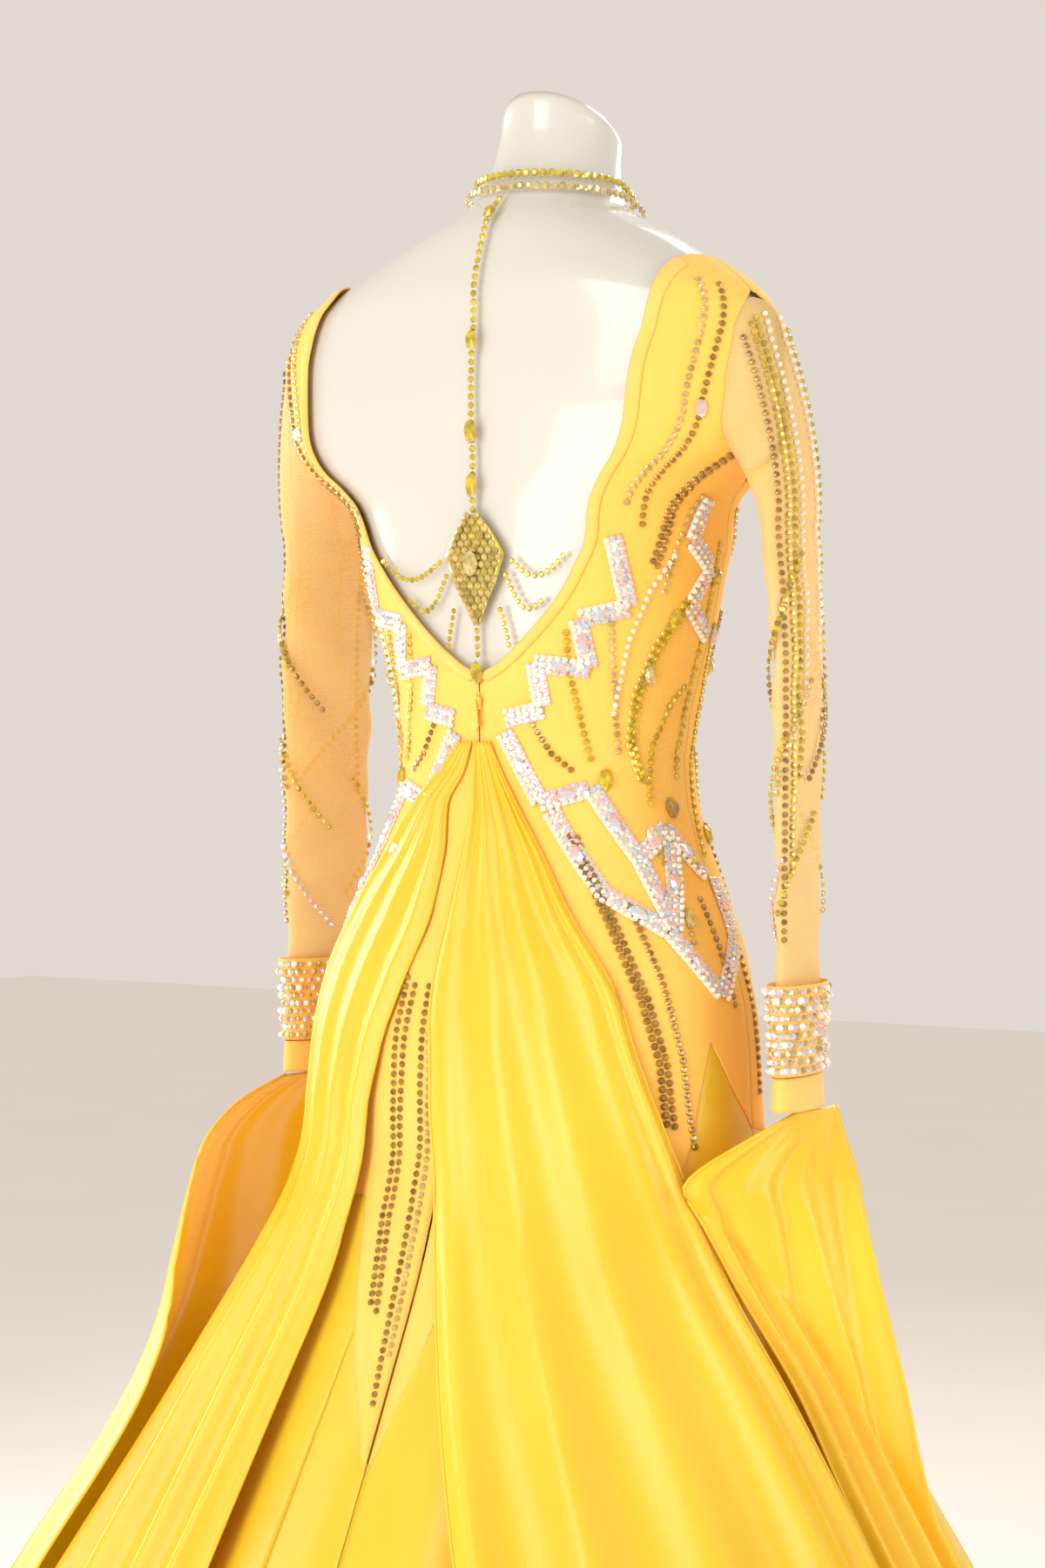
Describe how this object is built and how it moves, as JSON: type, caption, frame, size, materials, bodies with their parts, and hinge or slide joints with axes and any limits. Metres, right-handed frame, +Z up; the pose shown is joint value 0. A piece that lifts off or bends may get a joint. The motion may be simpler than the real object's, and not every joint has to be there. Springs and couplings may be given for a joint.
{
  "type": "ballroom dance dress on a dress form",
  "caption": "Low-backed fitted ballroom dance dress with sheer sleeves, satin skirt, waist drapes and wrist floats, standing on a limbless dress form with a pole and round base.",
  "frame": {"origin": "centre of the base underside, on the floor", "axes": "+Z up, the wearer faces -Y, the wearer's left is +X"},
  "size_m": [1.1569, 0.9886, 1.5282],
  "materials": {
    "stretch_cloth": "matte stretch jersey",
    "satin": "soft satin",
    "sheer_mesh": "fine sheer stretch mesh",
    "stones": "cut glass stones in metal cups",
    "zip_enamel": "enamelled",
    "form_shell": "smooth gloss",
    "stand_metal": "polished"
  },
  "bodies": {
    "dress": {"form_torso": "form_shell", "stand_pole": "stand_metal", "stand_base": "stand_metal", "body_back_left": "stretch_cloth", "body_back_right": "stretch_cloth", "body_front": "stretch_cloth", "neck_binding_left": "stretch_cloth", "neck_binding_right": "stretch_cloth", "sleeve_left": "sheer_mesh", "cuff_left": "sheer_mesh", "wrist_band_left": "stretch_cloth", "sleeve_right": "sheer_mesh", "cuff_right": "sheer_mesh", "wrist_band_right": "stretch_cloth", "skirt_side_left": "satin", "skirt_back_left": "satin", "skirt_back_godet": "satin", "skirt_back_right": "satin", "skirt_side_right": "satin", "skirt_front_right": "satin", "skirt_front_left": "satin", "drape_left": "satin", "drape_right": "satin", "float_left": "satin", "float_right": "satin", "zip_slider": "zip_enamel", "choker_upper": "stones", "choker_lower": "stones", "back_chain": "stones", "back_motif": "stones", "back_chain_lower": "stones", "swag_upper_left": "stones", "swag_lower_left": "stones", "fringe_left": "stones", "swag_upper_right": "stones", "swag_lower_right": "stones", "fringe_right": "stones"},
    "zip_pull": {"zip_pull": "zip_enamel"}
  },
  "joints": [
    {"name": "zip_pull_swing", "type": "hinge", "parent": "dress", "child": "zip_pull", "pos_m": [0, 0.0891, 1.0934], "axis": [1, 0, 0], "range_deg": [0, 110]}
  ]
}
